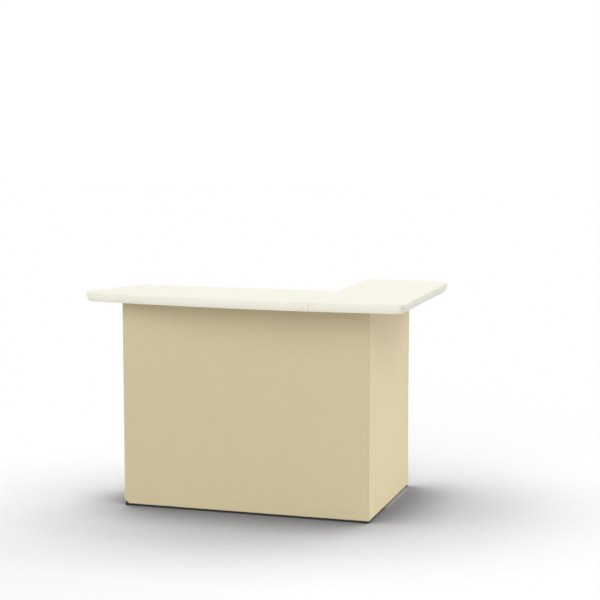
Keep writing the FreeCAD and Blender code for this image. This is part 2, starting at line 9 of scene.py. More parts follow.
import bpy
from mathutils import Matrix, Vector


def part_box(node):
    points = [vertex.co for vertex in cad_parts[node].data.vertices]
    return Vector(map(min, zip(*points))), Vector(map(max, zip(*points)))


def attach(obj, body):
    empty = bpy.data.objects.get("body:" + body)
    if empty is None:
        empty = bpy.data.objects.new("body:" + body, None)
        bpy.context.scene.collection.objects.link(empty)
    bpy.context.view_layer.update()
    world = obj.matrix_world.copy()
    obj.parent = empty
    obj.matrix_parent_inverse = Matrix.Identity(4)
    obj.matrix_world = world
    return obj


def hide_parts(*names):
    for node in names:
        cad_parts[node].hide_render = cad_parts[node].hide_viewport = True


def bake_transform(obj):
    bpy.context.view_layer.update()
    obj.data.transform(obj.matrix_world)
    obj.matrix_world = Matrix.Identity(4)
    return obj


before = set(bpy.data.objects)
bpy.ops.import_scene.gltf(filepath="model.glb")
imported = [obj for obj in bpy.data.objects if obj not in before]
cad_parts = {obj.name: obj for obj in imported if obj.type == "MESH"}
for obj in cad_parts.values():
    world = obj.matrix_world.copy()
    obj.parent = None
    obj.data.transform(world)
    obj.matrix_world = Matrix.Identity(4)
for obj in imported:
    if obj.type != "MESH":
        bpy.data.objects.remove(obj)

LOG = logging.getLogger("bar_counter")
MM = 0.001
QUARTER_TURN = math.pi / 2
CLOTH_MAP = "cloth_metres"
# Most values of a noise lie between these two.
NOISE_BAND = (0.3, 0.7)
BEVEL_SAMPLES = 4
# Places along the cloth that agree to this many digits, in metres, are one.
PLACE_DIGITS = 6

# A point has three values, in the row frame; a spot has two, in plan.
Point = Vector
Spot = Vector
Face = tuple[int, ...]
Pair = tuple[float, float]
Triple = tuple[float, float, float]
Settings = tuple[tuple[str, float], ...]
Material = bpy.types.Material
Node = bpy.types.Node
Piece = bpy.types.Object
Source = bpy.types.Node | bpy.types.NodeSocket
Tree = bpy.types.NodeTree


class Axis(Enum):
    """Axis of a pattern's own coordinates that its marks are drawn out along."""

    X = 0
    Y = 1
    Z = 2


class Marks(Enum):
    """Kind of marks that a pattern has, as the texture node that draws them."""

    CLOUDS = "TexNoise"
    CELLS = "TexVoronoi"
    RIBS = "TexWave"


class EdgeKind(Enum):
    """How a side of a top panel is made: rolled under, or upright where the panels meet."""

    ROLLED = "rolled"
    SEAM = "seam"


def linear(colour: str) -> tuple[float, float, float, float]:
    """Turn an sRGB hex colour into linear values.

    Args:
        colour: six hex digits after a hash.

    Returns:
        Red, green, blue and an alpha of one.
    """
    values = []
    for start in (1, 3, 5):
        share = int(colour[start:start + 2], 16) / 255
        values.append(share / 12.92 if share <= 0.04045 else ((share + 0.055) / 1.055) ** 2.4)
    return values[0], values[1], values[2], 1.0


def per_metre(size_mm: float) -> float:
    """Pattern scale, in repeats to the metre, of a pattern of that size in millimetres."""
    return 1 / (size_mm * MM)


def add_node(tree: Tree, kind: str, settings: dict | None = None,
             links: dict | None = None) -> Node:
    """Add one node with its settings and links.

    Args:
        tree: the node tree that takes the node.
        kind: the node's type without its ShaderNode prefix.
        settings: values for the node's own properties, or for its live inputs by name or number.
        links: output sockets, or nodes that stand for their first live output, for inputs by name or number.

    Returns:
        The new node.
    """
    node = tree.nodes.new("ShaderNode" + kind)
    values = {}
    for key, value in (settings or {}).items():
        if isinstance(key, str) and hasattr(node, key):
            setattr(node, key, value)
        else:
            values[key] = value
    live = [socket for socket in node.inputs if socket.enabled]
    inputs = dict(enumerate(live)) | {socket.name: socket for socket in reversed(live)}
    for key, value in values.items():
        inputs[key].default_value = value
    for key, source in (links or {}).items():
        if isinstance(source, Node):
            source = next(socket for socket in source.outputs if socket.enabled)
        tree.links.new(source, inputs[key])
    return node


def seen_directly(tree: Tree) -> Node:
    """Tell what is looked at from what only gives light.

    Args:
        tree: the node tree that asks.

    Returns:
        A node that is one for a ray from the camera, or by way of gloss or glass, and nought for the others.
    """
    path = add_node(tree, "LightPath")
    share = path.outputs["Is Camera Ray"]
    for name in ("Is Glossy Ray", "Is Transmission Ray"):
        share = add_node(tree, "Math", {"operation": "MAXIMUM"}, {0: share, 1: path.outputs[name]})
    return share


@dataclass(frozen=True)
class Finish:
    """A material's name, and the start and end of its node tree."""

    name: str

    def build(self) -> Material:
        """Make the material.

        Returns:
            The new material, with this finish's nodes.
        """
        material = bpy.data.materials.new(self.name)
        material.use_nodes = True
        tree = material.node_tree
        tree.nodes.clear()
        add_node(tree, "OutputMaterial", links={"Surface": self.shader(tree)})
        return material

    def shader(self, tree: Tree) -> Node:
        """Add this finish's own nodes; each finish has its own way."""
        raise NotImplementedError


@dataclass(frozen=True)
class Pattern:
    """Texture by the size of its marks, the axis that draws them out and the band of its values."""

    size_mm: float
    detail: float = 2.0
    band: Pair = (0.0, 1.0)
    grain: Axis | None = None
    draw_out: float = 1.0
    turn: Triple = (0.0, 0.0, 0.0)
    kind: Marks = Marks.CLOUDS
    # Number of the texture node's output that holds the marks as plain values.
    output: int = 0
    settings: dict[str, float] = field(default_factory=dict)

    def add(self, tree: Tree, place: Source, spread: Pair = (0.0, 1.0)) -> Node:
        """Add the pattern's nodes.

        Args:
            tree: the node tree that takes them.
            place: coordinates in metres.
            spread: what the two ends of the band become.

        Returns:
            The node that holds the pattern's values.
        """
        scale = [1 / self.draw_out if axis is self.grain else 1.0 for axis in Axis]
        drawn = add_node(tree, "Mapping", {"Scale": scale, "Rotation": self.turn}, {"Vector": place})
        settings = {"Scale": per_metre(self.size_mm), "Detail": self.detail, **self.settings}
        marks = add_node(tree, self.kind.value, settings, {"Vector": drawn}).outputs[self.output]
        span = {"From Min": self.band[0], "From Max": self.band[1], "To Min": spread[0], "To Max": spread[1]}
        return add_node(tree, "MapRange", span, {"Value": marks})


@dataclass(frozen=True)
class PatternedFinish(Finish):
    """Finish with two tints, a gloss and a relief that follow patterns, and edges that may be eased."""

    first: str
    second: str
    tint: Pattern
    relief: Pattern
    relief_mm: float
    tint_strength: float = 1.0
    # The ends of the gloss pattern's band become the two roughnesses. Without it the surface gives one.
    gloss: Pattern | None = None
    roughness: Pair = (0.5, 0.5)
    edge_mm: float = 0.0
    surface: Settings = ()

    def share(self, tree: Tree, place: Source, rounded: Node | None) -> Node:
        """How much of the second tint shows; a finish that is worn and painted lighter at its edges uses
        their rounding too.
        """
        return self.tint.add(tree, place, (0.0, self.tint_strength))

    def colour(self, tree: Tree, place: Source, rounded: Node | None) -> Node:
        """Mix the two tints.

        Args:
            tree: the material's node tree.
            place: the piece's coordinates.
            rounded: directions that ease the edges, if they are eased.

        Returns:
            The colour.
        """
        tints = {"data_type": "RGBA", "A": linear(self.first), "B": linear(self.second)}
        return add_node(tree, "Mix", tints, {"Factor": self.share(tree, place, rounded)})

    def shader(self, tree: Tree) -> Node:
        """Add the finish's nodes.

        Args:
            tree: the material's empty node tree.

        Returns:
            The shader.
        """
        place = add_node(tree, "TexCoord").outputs["Object"]
        raised = {"Height": self.relief.add(tree, place)}
        if self.edge_mm:
            eased = {"Radius": self.edge_mm * MM, "samples": BEVEL_SAMPLES}
            raised["Normal"] = add_node(tree, "Bevel", eased)
        links = {"Base Color": self.colour(tree, place, raised.get("Normal")),
                 "Normal": add_node(tree, "Bump", {"Distance": self.relief_mm * MM}, raised)}
        if self.gloss:
            links["Roughness"] = self.gloss.add(tree, place, self.roughness)
        return add_node(tree, "BsdfPrincipled", dict(self.surface), links)


@dataclass(frozen=True)
class MouldedPolyethylene(PatternedFinish):
    """Polyethylene, blow moulded against a finely pebbled mould."""

    # The pebble breaks the gloss into a soft bloom, the wall's uneven thickness leaves faint clouds, and use
    # leaves long hairlines that show only in the gloss.
    tint: Pattern = Pattern(size_mm=210.0, detail=3.0)
    gloss: Pattern = Pattern(size_mm=3.0, detail=4.0, band=NOISE_BAND, grain=Axis.X, draw_out=12.0,
                             turn=(0.0, 0.0, 0.5))
    roughness: Pair = (0.65, 0.55)
    relief: Pattern = Pattern(size_mm=1.1, detail=1.0)
    relief_mm: float = 0.05
    surface: Settings = (("IOR", 1.5), ("Specular IOR Level", 0.12))


@dataclass(frozen=True)
class WovenPolyester(Finish):
    """Polyester, plain woven, piece dyed and heat set."""

    # Threads over and under give a tiny chequer of relief and two close tints, uneven yarn leaves faint long
    # streaks both ways, and the filaments' fuzz and gloss lighten the cloth where it is seen from the side.
    warp: str
    weft: str
    fuzz: str = "#FFF0C8"
    # A real thread is about 0.5 mm. It is drawn twice as wide, so that it shows in a close view.
    thread_mm: float = 1.0
    thread_relief_mm: float = 0.12
    streak_mm: float = 9.0
    streak_stretch: float = 40.0
    streak_strength: float = 0.35
    roughness: float = 0.6
    gloss: float = 0.5
    sheen: float = 1.0
    sheen_roughness: float = 0.6

    def shader(self, tree: Tree) -> Node:
        """Add the cloth's nodes.

        Args:
            tree: the material's empty node tree.

        Returns:
            The shader.
        """
        cloth = add_node(tree, "UVMap", {"uv_map": CLOTH_MAP})
        ways = add_node(tree, "SeparateXYZ", links={0: cloth})
        waves = []
        for way in (0, 1):
            half_turns = {"operation": "MULTIPLY", 1: math.pi * per_metre(self.thread_mm)}
            turn = add_node(tree, "Math", half_turns, {0: ways.outputs[way]})
            waves.append(add_node(tree, "Math", {"operation": "SINE"}, {0: turn}))
        weave = add_node(tree, "Math", {"operation": "MULTIPLY"}, {0: waves[0], 1: waves[1]})
        over = add_node(tree, "MapRange", {"From Min": -1.0}, {"Value": weave})
        tints = {"data_type": "RGBA", "A": linear(self.warp), "B": linear(self.weft)}
        tint = add_node(tree, "Mix", tints, {"Factor": over})
        for yarn in (Axis.Y, Axis.X):
            streaks = Pattern(self.streak_mm, band=NOISE_BAND, grain=yarn, draw_out=self.streak_stretch)
            uneven = streaks.add(tree, cloth, (0.0, self.streak_strength))
            tint = add_node(tree, "Mix", {"data_type": "RGBA", "B": linear(self.warp)},
                            {"Factor": uneven, "A": tint})
        relief = add_node(tree, "Bump", {"Distance": self.thread_relief_mm * MM}, {"Height": weave})
        surface = {"Roughness": self.roughness, "Specular IOR Level": self.gloss, "Sheen Weight": self.sheen,
                   "Sheen Roughness": self.sheen_roughness, "Sheen Tint": linear(self.fuzz)}
        return add_node(tree, "BsdfPrincipled", surface, {"Base Color": tint, "Normal": relief})


@dataclass(frozen=True)
class PowderCoat(PatternedFinish):
    """Steel, powder coated and stoved to a satin."""

    # The melted powder leaves a slight orange peel in the gloss, handling leaves pale dusty scuffs, and the
    # coat is rubbed thin and grey along the edges; that lighter grey on every edge is also a painted
    # highlight.
    tint: Pattern = Pattern(size_mm=55.0, detail=8.0, band=(0.55, 0.75))
    tint_strength: float = 0.5
    gloss: Pattern = replace(tint, band=NOISE_BAND)
    roughness: Pair = (0.38, 0.54)
    relief: Pattern = Pattern(size_mm=2.2, detail=1.0)
    relief_mm: float = 0.06
    edge_mm: float = 1.6
    edge_band: Pair = (0.99, 0.86)
    edge_wear_and_highlight_strength: float = 0.45
    surface: Settings = (("IOR", 1.52),)

    def share(self, tree: Tree, place: Source, rounded: Node | None) -> Node:
        """Find where the coat is scuffed, or rubbed at an edge, where the lighter grey is also a painted
        highlight.

        Args:
            tree: the material's node tree.
            place: the piece's coordinates.
            rounded: directions that ease the edges.

        Returns:
            How much of the scuffed tint shows, the painted edge highlight with it.
        """
        # Rubbed edges, also a painted highlight: every edge turns a lighter grey.
        facing = add_node(tree, "NewGeometry").outputs["Normal"]
        flat = add_node(tree, "VectorMath", {"operation": "DOT_PRODUCT"}, {0: rounded, 1: facing})
        span = {"From Min": self.edge_band[0], "From Max": self.edge_band[1], "To Max": self.edge_wear_and_highlight_strength}
        rubbed_and_highlit_edges = add_node(tree, "MapRange", span, {"Value": flat})
        scuffed = super().share(tree, place, rounded)
        return add_node(tree, "Math", {"operation": "MAXIMUM"}, {0: scuffed, 1: rubbed_and_highlit_edges})


@dataclass(frozen=True)
class ZincPlate(PatternedFinish):
    """Steel, zinc plated and clear passivated."""

    # The plated crystals give a soft mottled gloss with a faint blue and straw bloom.
    tint: Pattern = Pattern(size_mm=6.0, detail=3.0)
    relief: Pattern = Pattern(size_mm=0.7, detail=3.0)
    relief_mm: float = 0.01
    gloss: Pattern = replace(relief, band=NOISE_BAND)
    roughness: Pair = (0.27, 0.44)
    surface: Settings = (("Metallic", 1.0),)


@dataclass(frozen=True)
class MelamineBoard(PatternedFinish):
    """Chipboard, faced with a pressed melamine print of pale ash, its edges taped."""

    # The print runs along the board in fine pores and broader bands, the press plate leaves a low satin, and
    # the taped edges are plain and eased a little.
    tape: str = "#CFC6B2"
    relief: Pattern = Pattern(size_mm=5.0, detail=5.0, grain=Axis.X, draw_out=60.0)
    relief_mm: float = 0.03
    tint: Pattern = replace(relief, band=(0.45, 0.7))
    tint_strength: float = 0.55
    gloss: Pattern = replace(relief, band=NOISE_BAND)
    roughness: Pair = (0.43, 0.58)
    bands: Pattern = Pattern(size_mm=46.0, band=NOISE_BAND, grain=Axis.X, draw_out=60.0)
    band_strength: float = 0.4
    face_band: Pair = (0.6, 0.8)
    edge_mm: float = 0.8
    surface: Settings = (("IOR", 1.5),)

    def colour(self, tree: Tree, place: Source, rounded: Node | None) -> Node:
        """Print pores and bands on the faces, and tape the edges.

        Args:
            tree: the material's node tree.
            place: the piece's coordinates.
            rounded: directions that ease the edges.

        Returns:
            The colour.
        """
        pores = super().colour(tree, place, rounded)
        banded = self.bands.add(tree, place, (0.0, self.band_strength))
        printed = add_node(tree, "Mix", {"data_type": "RGBA", "B": linear(self.second)},
                           {"Factor": banded, "A": pores})
        upward = add_node(tree, "SeparateXYZ", links={0: place.node.outputs["Normal"]}).outputs["Z"]
        level = add_node(tree, "Math", {"operation": "ABSOLUTE"}, {0: upward})
        span = {"From Min": self.face_band[0], "From Max": self.face_band[1]}
        on_face = add_node(tree, "MapRange", span, {"Value": level})
        return add_node(tree, "Mix", {"data_type": "RGBA", "A": linear(self.tape)},
                        {"Factor": on_face, "B": printed})


@dataclass(frozen=True)
class PlanedPine(PatternedFinish):
    """Pine batten, planed and left bare."""

    # Growth rings run along it as soft pale and darker bands, with fine fibre between them, and the plane
    # leaves its edges eased a little.
    tint: Pattern = Pattern(size_mm=7.0, detail=3.0, band=(0.35, 0.65), grain=Axis.Y, draw_out=30.0)
    relief: Pattern = Pattern(size_mm=1.2, detail=3.0, grain=Axis.Y, draw_out=30.0)
    relief_mm: float = 0.05
    gloss: Pattern = replace(relief, band=NOISE_BAND)
    roughness: Pair = (0.55, 0.75)
    edge_mm: float = 1.0
    surface: Settings = (("Specular IOR Level", 0.3),)


@dataclass(frozen=True)
class MouldedPlastic(PatternedFinish):
    """Nylon or rubber, injection moulded against a spark-eroded mould."""

    # The mould's grain scatters the gloss into a dull bloom, and handling greys it a little in patches.
    tint: Pattern = Pattern(size_mm=18.0, detail=5.0, band=(0.45, 0.7))
    tint_strength: float = 0.6
    gloss: Pattern = replace(tint, band=NOISE_BAND)
    roughness: Pair = (0.49, 0.65)
    relief: Pattern = Pattern(size_mm=0.8, detail=1.0)
    relief_mm: float = 0.04
    surface: Settings = (("IOR", 1.52),)


@dataclass(frozen=True)
class HookTape(PatternedFinish):
    """Nylon tape, woven and covered in tiny hooks."""

    # Rows of hooks give it a pricked matt face with a soft sheen from the side.
    tint: Pattern = Pattern(size_mm=1.4, detail=0.0, band=(0.6, 0.1), kind=Marks.CELLS,
                            settings={"Randomness": 0.35})
    relief: Pattern = replace(tint, band=(0.7, 0.0))
    relief_mm: float = 0.5
    surface: Settings = (("Roughness", 0.8), ("Sheen Weight", 0.3), ("Specular IOR Level", 0.3))


@dataclass(frozen=True)
class LoopTape(HookTape):
    """Nylon tape, woven and covered in soft loops, finer than hooks and not as tall."""

    # The loops give it a close matt pile with a soft sheen from the side.
    tint: Pattern = replace(HookTape.tint, size_mm=1.0)
    relief: Pattern = replace(HookTape.relief, size_mm=1.0)
    relief_mm: float = 0.3


@dataclass(frozen=True)
class SpunThread(PatternedFinish):
    """Polyester sewing thread, spun, with three plies twisted."""

    # The twist shows as fine slanted ribs, with a soft fuzz at the side. A wave's scale counts turns, so half
    # a millimetre for each ply is multiplied by a full turn.
    tint: Pattern = Pattern(size_mm=0.5 * math.tau, turn=(0.0, 0.6, 0.6), kind=Marks.RIBS, output=1,
                            settings={"Distortion": 1.0})
    relief: Pattern = tint
    relief_mm: float = 0.06
    surface: Settings = (("Roughness", 0.75), ("Sheen Weight", 0.4))


@dataclass(frozen=True)
class PaintedFloor(Finish):
    """Concrete, painted matt pale grey, as a studio floor."""

    # It lights the counter as plain grey paint. Looked at, it is the backdrop's white with a painted shadow,
    # which darkens towards the counter as the counter hides more of the room from it, most of all close to
    # the hem, with a share of the lamps' own shadows.
    colour: str
    shadow_reach: float = 1.2
    shadow_depth: float = 1.6
    contact_reach: float = 0.35
    contact_depth: float = 1.0
    darkest: float = 0.05
    lamp_share: float = 0.35

    def shader(self, tree: Tree) -> Node:
        """Add the floor's nodes.

        Args:
            tree: the material's empty node tree.

        Returns:
            The shader.
        """
        paint = add_node(tree, "BsdfDiffuse", {"Color": linear(self.colour)})
        wide = (self.shadow_reach, self.shadow_depth)
        close = (self.contact_reach, self.contact_depth)
        shades = []
        # Painted shadow: the counter's occlusion darkens the colour the floor shows.
        for reach, depth in (wide, close):
            room = add_node(tree, "AmbientOcclusion", {"Distance": reach}).outputs["AO"]
            shades.append(add_node(tree, "Math", {"operation": "POWER", 1: depth}, {0: room}))
        both = add_node(tree, "Math", {"operation": "MULTIPLY"}, {0: shades[0], 1: shades[1]})
        shadow = add_node(tree, "MapRange", {"To Min": self.darkest}, {"Value": both})
        painted_shadow_glow = add_node(tree, "Emission", links={"Color": shadow})
        lit = add_node(tree, "BsdfDiffuse", links={"Color": shadow})
        shown = add_node(tree, "MixShader", {0: self.lamp_share}, {1: painted_shadow_glow, 2: lit})
        return add_node(tree, "MixShader", links={0: seen_directly(tree), 1: paint, 2: shown})


def mesh_piece(name: str, points: Sequence[Point], faces: Sequence[Face], finish: Material,
               smooth_below: float = 40.0) -> Piece:
    """Make one piece from its points and faces.

    Args:
        name: the piece's name.
        points: places in the row frame, in metres.
        faces: corners of each face, as numbers into the points.
        finish: the piece's material.
        smooth_below: edges that turn by fewer degrees than this look round.

    Returns:
        The new object, linked to the scene.
    """
    mesh = bpy.data.meshes.new(name)
    mesh.from_pydata([tuple(point) for point in points], [], faces)
    mesh.validate()
    mesh.shade_smooth()
    mesh.set_sharp_from_angle(angle=math.radians(smooth_below))
    mesh.materials.append(finish)
    piece = bpy.data.objects.new(name, mesh)
    bpy.context.scene.collection.objects.link(piece)
    return piece


def ring_faces(rings: int, around: int, closed: bool = True) -> list[Face]:
    """Four-cornered faces between rings of points that follow each other.

    Args:
        rings: how many rings there are.
        around: how many points each has.
        closed: whether each ring joins its own end.

    Returns:
        The faces, which look outward where the rings turn anticlockwise about the way they follow.
    """
    faces = []
    for ring in range(rings - 1):
        for spot in range(around if closed else around - 1):
            beside = (spot + 1) % around
            here, there = ring * around, (ring + 1) * around
            faces.append((here + spot, here + beside, there + beside, there + spot))
    return faces


def capped_faces(rings: int, around: int, first_point: int = 0) -> list[Face]:
    """Faces of a closed form through rings of points, with a cap on its first and last ring.

    Args:
        rings: how many rings there are.
        around: how many points each has.
        first_point: number of the first ring's first point.

    Returns:
        The faces, caps and all, which look outward where the rings turn anticlockwise about their way.
    """
    faces = ring_faces(rings, around)
    last = (rings - 1) * around
    faces.append(tuple(reversed(range(around))))
    faces.append(tuple(last + spot for spot in range(around)))
    return [tuple(first_point + spot for spot in face) for face in faces]


def swept(name: str, sections: Sequence[Sequence[Point]], finish: Material) -> Piece:
    """Solid through a row of closed sections, each with as many points."""
    points = [point for section in sections for point in section]
    return mesh_piece(name, points, capped_faces(len(sections), len(sections[0])), finish)


@dataclass(frozen=True)
class PanelSide:
    """One straight side of a panel in plan, as a spot on it and its outward direction."""

    spot: Spot
    outward: Vector
    kind: EdgeKind = EdgeKind.ROLLED

    def outward_at(self, spot: Spot) -> Vector:
        """Outward direction beside a spot."""
        return self.outward

    def crossing(self, other: "PanelSide", inset: float, other_inset: float) -> Spot:
        """Find where this side and another straight one cross.

        Args:
            other: the other side.
            inset: how far this side is moved in.
            other_inset: how far the other side is moved in.

        Returns:
            The spot.
        """
        first, second = self.outward, other.outward
        reach = first.dot(self.spot) - inset
        other_reach = second.dot(other.spot) - other_inset
        turn = first.x * second.y - first.y * second.x
        across = (reach * second.y - other_reach * first.y) / turn
        return Vector((across, (first.x * other_reach - second.x * reach) / turn))

    def between(self, start: Spot, end: Spot, count: int) -> list[Spot]:
        """That many spots between two ends of the side, without the ends."""
        return [start.lerp(end, number / (count + 1)) for number in range(1, count + 1)]


@dataclass(frozen=True)
class BowedSide:
    """The front side of the top, one shallow arc."""

    centre: Spot
    radius: float
    kind: EdgeKind = EdgeKind.ROLLED

    def outward_at(self, spot: Spot) -> Vector:
        """Outward direction beside a spot."""
        return (spot - self.centre).normalized()

    def crossing(self, other: PanelSide, inset: float, other_inset: float) -> Spot:
        """Find where the arc and a straight side cross at the front.

        Args:
            other: the straight side.
            inset: how far the arc is moved in.
            other_inset: how far the straight side is moved in.

        Returns:
            The spot.
        """
        reach = self.radius - inset
        gap = other.outward.dot(other.spot) - other_inset - other.outward.dot(self.centre)
        half = math.sqrt(reach ** 2 - gap ** 2)
        foot = self.centre + other.outward * gap
        along = Vector((-other.outward.y, other.outward.x))
        return min((foot + along * half, foot - along * half), key=lambda spot: spot.y)

    def between(self, start: Spot, end: Spot, count: int) -> list[Spot]:
        """Spots along the arc between two ends of the side.

        Args:
            start: the end to start from.
            end: the other end.
            count: how many spots there are.

        Returns:
            The spots, without the ends.
        """
        reach = ((start - self.centre).length + (end - self.centre).length) / 2
        chord = [start.lerp(end, number / (count + 1)) for number in range(1, count + 1)]
        return [self.centre + self.outward_at(spot) * reach for spot in chord]


@dataclass(frozen=True)
class PanelCorner:
    """Rounded corner between two sides of a panel; a radius of nought is a sharp one."""

    first: PanelSide | BowedSide
    second: PanelSide | BowedSide
    radius: float
    steps: int = 1
    least_radius: float = 0.0008

    def spots(self, insets: dict[EdgeKind, float]) -> list[Spot]:
        """Spots round the corner, with its sides moved in.

        Args:
            insets: how far each kind of side is moved in.

        Returns:
            One spot at a sharp corner, or one more than the corner's steps.
        """
        moved = [insets[side.kind] for side in (self.first, self.second)]
        radius = max(self.radius - min(moved), self.least_radius) if self.radius else 0.0
        first_inset, second_inset = (inset + radius for inset in moved)
        if isinstance(self.second, BowedSide):
            centre = self.second.crossing(self.first, second_inset, first_inset)
        else:
            centre = self.first.crossing(self.second, first_inset, second_inset)
        if not self.radius:
            return [centre]
        start, end = self.first.outward_at(centre), self.second.outward_at(centre)
        turn = math.atan2(start.x * end.y - start.y * end.x, start.dot(end))
        first_angle = math.atan2(start.y, start.x)
        angles = [first_angle + turn * step / self.steps for step in range(self.steps + 1)]
        return [centre + Vector((math.cos(angle), math.sin(angle))) * radius for angle in angles]


@dataclass
class CounterTop:
    """The two moulded panels, each a thin shell with a rolled edge, that meet at the seam."""

    finish: Material
    bow_radius: float = 5.750
    bow_apex_from_right: float = 0.413
    left_overhang_front: float = 0.1715
    left_overhang_back: float = 0.032
    front_left_radius: float = 0.046
    front_right_radius: float = 0.042
    wing_back_right_radius: float = 0.090
    wing_back_left_radius: float = 0.008
    run_back_left_radius: float = 0.028
    seam_corner_radius: float = 0.0025
    edge_curve_radius: float = 0.078
    wall: float = 0.004
    rim_round: float = 0.0014
    seam_round: float = 0.0005
    heel_round: float = 0.0035
    flat_border: float = 0.006
    corner_step: float = 0.006
    side_step: float = 0.045
    least_corner_steps: int = 3
    roll_steps: int = 7
    round_steps: int = 4
    hollow_steps: int = 3

    def __post_init__(self) -> None:
        """Take the heights, the reach of the panels and the skirt's plan from the frame."""
        run_low, run_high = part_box("run_top_shell")
        wing_low, wing_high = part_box("wing_top_shell")
        skirt_low, skirt_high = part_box("skirt_front")
        self.underside, self.top = run_low.z, run_high.z
        self.run_seam, self.wing_seam = run_high.x, wing_low.x
        self.right, self.wing_back = wing_high.x, wing_high.y
        self.run_front, self.run_back = run_low.y, run_high.y
        self.skirt_left, self.skirt_right, self.skirt_front = skirt_low.x, skirt_high.x, skirt_low.y

    def front_side(self) -> BowedSide:
        """The bowed front side, shared by both panels."""
        apex = self.skirt_right - self.bow_apex_from_right
        return BowedSide(Vector((apex, self.run_front + self.bow_radius)), self.bow_radius)

    def run_back_side(self) -> PanelSide:
        """The back side of the run."""
        return PanelSide(Vector((0.0, self.run_back)), Vector((0, 1)))

    def rounded(self, first: PanelSide | BowedSide, second: PanelSide | BowedSide,
                radius: float) -> PanelCorner:
        """Corner of that radius, with steps to suit it."""
        steps = self.least_corner_steps + round(radius * QUARTER_TURN / self.corner_step)
        return PanelCorner(first, second, radius, steps)

    def run_corners(self) -> list[PanelCorner]:
        """Corners of the run, in order round it.

        Returns:
            The four corners.
        """
        front, back = self.front_side(), self.run_back_side()
        left_front = Vector((self.skirt_left - self.left_overhang_front, self.skirt_front))
        left_run = Vector((self.skirt_left - self.left_overhang_back, self.run_back)) - left_front
        left = PanelSide(left_front, Vector((-left_run.y, left_run.x)).normalized())
        seam = PanelSide(Vector((self.run_seam, 0.0)), Vector((1, 0)), EdgeKind.SEAM)
        return [self.rounded(left, front, self.front_left_radius),
                self.rounded(front, seam, self.seam_corner_radius),
                self.rounded(seam, back, self.seam_corner_radius),
                self.rounded(back, left, self.run_back_left_radius)]

    def wing_corners(self) -> list[PanelCorner]:
        """Corners of the wing, in order round it.

        Returns:
            The six corners; the last two turn in behind the run's rolled back edge.
        """
        front, run_back = self.front_side(), self.run_back_side()
        seam = PanelSide(Vector((self.wing_seam, 0.0)), Vector((-1, 0)), EdgeKind.SEAM)
        left = PanelSide(Vector((self.wing_seam, 0.0)), Vector((-1, 0)))
        right = PanelSide(Vector((self.right, 0.0)), Vector((1, 0)))
        back = PanelSide(Vector((0.0, self.wing_back)), Vector((0, 1)))
        return [self.rounded(seam, front, self.seam_corner_radius),
                self.rounded(front, right, self.front_right_radius),
                self.rounded(right, back, self.wing_back_right_radius),
                self.rounded(back, left, self.wing_back_left_radius),
                PanelCorner(left, run_back, 0.0), PanelCorner(run_back, seam, 0.0)]

    def roll(self, drop: float) -> float:
        """How far the rolled edge lies inside the rim at a drop below the top."""
        return self.edge_curve_radius - math.sqrt(self.edge_curve_radius ** 2 - drop ** 2)

    def levels(self) -> list[Triple]:
        """Rings of the shell from the middle of its face, over the rim, to the middle of its hollow.

        Returns:
            For each ring the inset of rolled sides, the inset of seam sides and the height.
        """
        thickness = self.top - self.underside
        rings = [(self.rim_round + self.flat_border, self.seam_round + self.flat_border, self.top)]
        for step in range(self.round_steps + 1):
            angle = QUARTER_TURN * step / self.round_steps
            drop, shy = self.rim_round * (1 - math.cos(angle)), 1 - math.sin(angle)
            rings.append((self.roll(drop) + self.rim_round * shy, self.seam_round * shy, self.top - drop))
        lean = math.asin(thickness / self.edge_curve_radius)
        heel_drop = thickness - self.heel_round * (1 - math.sin(lean))
        for step in range(1, self.roll_steps):
            drop = self.rim_round + (heel_drop - self.rim_round) * step / self.roll_steps
            rings.append((self.roll(drop), 0.0, self.top - drop))
        heel = self.roll(thickness)
        heel_centre = heel + self.heel_round * math.tan((QUARTER_TURN - lean) / 2)
        for step in range(self.round_steps + 1):
            share = step / self.round_steps
            angle = lean + (QUARTER_TURN - lean) * share
            inset = heel_centre - self.heel_round * math.cos(angle)
            height = self.underside + self.heel_round * (1 - math.sin(angle))
            rings.append((inset, self.seam_round * share, height))
        for step in range(self.hollow_steps + 1):
            drop = thickness + (self.wall - thickness) * step / self.hollow_steps
            rings.append((self.roll(drop) + self.wall, self.wall, self.top - drop))
        return rings

    def outline(self, corners: Sequence[PanelCorner], insets: dict[EdgeKind, float],
                height: float) -> list[Point]:
        """One ring of points round a panel.

        Args:
            corners: the panel's corners in order.
            insets: how far each kind of side is moved in.
            height: the ring's height.

        Returns:
            The ring's points. Every ring of a panel has as many.
        """
        rounds = [corner.spots(insets) for corner in corners]
        rims = [corner.spots({kind: 0.0 for kind in EdgeKind}) for corner in corners]
        ring: list[Spot] = []
        for number, corner in enumerate(corners):
            following = (number + 1) % len(corners)
            count = round((rims[following][0] - rims[number][-1]).length / self.side_step)
            ring.extend(rounds[number])
            ring.extend(corner.second.between(rounds[number][-1], rounds[following][0], count))
        return [Vector((spot.x, spot.y, height)) for spot in ring]

    def panel(self, name: str, corners: Sequence[PanelCorner]) -> Piece:
        """Make the closed shell of one panel.

        Args:
            name: the piece's name.
            corners: the panel's corners in order.

        Returns:
            The panel.
        """
        rings = []
        for rolled, upright, height in reversed(self.levels()):
            rings.append(self.outline(corners, {EdgeKind.ROLLED: rolled, EdgeKind.SEAM: upright}, height))
        return swept(name, rings, self.finish)

    def build(self) -> list[Piece]:
        """Make both panels, each on its own body.

        Returns:
            The run and the wing.
        """
        made = []
        for name, body, corners in (("run_panel", "run_top", self.run_corners()),
                                    ("wing_panel", "wing_top", self.wing_corners())):
            piece = self.panel(name, corners)
            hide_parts(body + "_shell")
            made.append(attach(piece, body))
        return made


